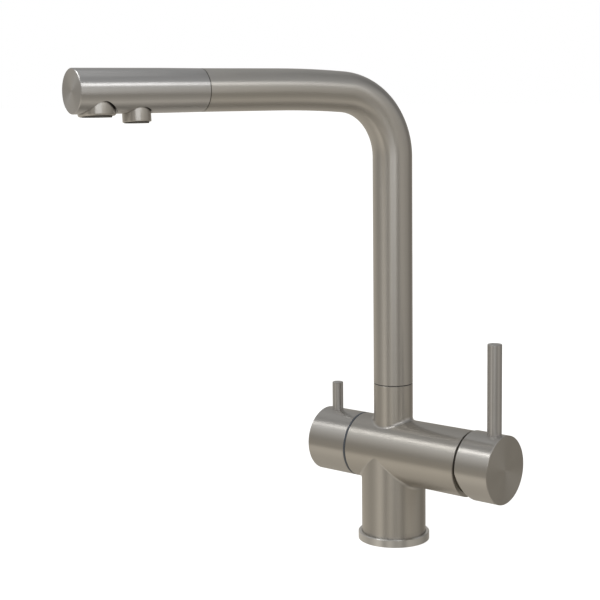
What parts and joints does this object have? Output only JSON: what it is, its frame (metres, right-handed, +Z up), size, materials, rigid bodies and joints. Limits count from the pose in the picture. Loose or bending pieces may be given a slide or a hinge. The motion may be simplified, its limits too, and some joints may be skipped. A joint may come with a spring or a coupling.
{
  "type": "three-way kitchen faucet",
  "caption": "Deck-mounted kitchen faucet with a cross body, a tall swivelling spout, a mixer lever and a second lever for filtered water; the head has an outlet for each.",
  "frame": {"origin": "centre of the base's underside, on the worktop", "axes": "+Z up along the column; +X along the cross body to the mixer handle; -Y to the front, where the spout points"},
  "size_m": [0.1772, 0.2634, 0.3382],
  "materials": {
    "steel_body": "fine brushing round each turned piece, satin, slightly warm",
    "steel_lever": "fine brushing round the lever, satin",
    "steel_ring": "finely turned, satin",
    "steel_dark": "turned, seen only in narrow gaps",
    "screw_steel": "plain stainless steel",
    "brass": "turned brass, unplated",
    "ceramic": "lapped white ceramic",
    "white_plastic": "moulded off-white plastic",
    "blue_plastic": "moulded blue-grey plastic",
    "grey_plastic": "moulded bluish grey plastic",
    "black_plastic": "moulded dark plastic",
    "black_rubber": "soft black rubber"
  },
  "bodies": {
    "tap_body": {"body": "steel_body", "base_ring": "steel_ring", "base_gasket": "black_rubber", "swivel_stop_screw": "screw_steel", "collar_washer": "black_plastic", "seat_o_rings": "black_rubber", "cartridge_base": "white_plastic", "fixed_disc": "ceramic", "cartridge_housing": "white_plastic", "cartridge_nut": "brass", "cover_ring": "steel_dark", "valve_seal": "black_rubber", "valve_fixed_disc": "ceramic", "valve_body": "brass", "spindle_o_ring": "black_rubber", "friction_ring": "grey_plastic"},
    "mixer_turret": {"turret": "blue_plastic", "pivot_pin": "screw_steel"},
    "mixer_disc": {"moving_disc": "ceramic", "disc_carrier": "white_plastic"},
    "mixer_handle": {"stem": "brass", "mixer_knob": "steel_body", "mixer_lever": "steel_lever", "mixer_grub_screw": "screw_steel"},
    "filter_handle": {"valve_spindle": "brass", "valve_moving_disc": "ceramic", "spindle_clip": "screw_steel", "filter_knob": "steel_body", "filter_lever": "steel_lever", "filter_grub_screw": "screw_steel"},
    "spout": {"spout_tube": "steel_body", "spout_foot": "steel_ring", "swivel_o_rings": "black_rubber", "slide_rings": "white_plastic", "filter_hose": "white_plastic", "hose_ferrule": "brass", "head": "steel_body", "head_nipple": "steel_dark", "main_sleeve": "steel_ring", "main_insert": "black_plastic", "main_washer": "black_rubber", "nozzle_sleeve": "steel_ring", "nozzle_insert": "black_plastic"}
  },
  "joints": [
    {"name": "spout_swivel", "type": "hinge", "parent": "tap_body", "child": "spout", "pos_m": [0, 0, 0.097], "axis": [0, 0, 1], "range_deg": [-53.4, 86.6]},
    {"name": "mixer_turn", "type": "hinge", "parent": "tap_body", "child": "mixer_turret", "pos_m": [0.05325, 0, 0.065], "axis": [1, 0, 0], "range_deg": [-50, 50]},
    {"name": "mixer_lift", "type": "hinge", "parent": "mixer_turret", "child": "mixer_handle", "pos_m": [0.05325, 0, 0.065], "axis": [0, 1, 0], "range_deg": [0, 16]},
    {"name": "disc_slide", "type": "slide", "parent": "mixer_turret", "child": "mixer_disc", "axis": [0, 0, 1], "range_m": [0, 0.0018]},
    {"name": "filter_turn", "type": "hinge", "parent": "tap_body", "child": "filter_handle", "pos_m": [-0.04, 0, 0.065], "axis": [1, 0, 0], "range_deg": [0, 90]}
  ],
  "couplings": [
    {"joint": "disc_slide", "follows": "mixer_lift", "m_per_rad": 0.0064}
  ]
}
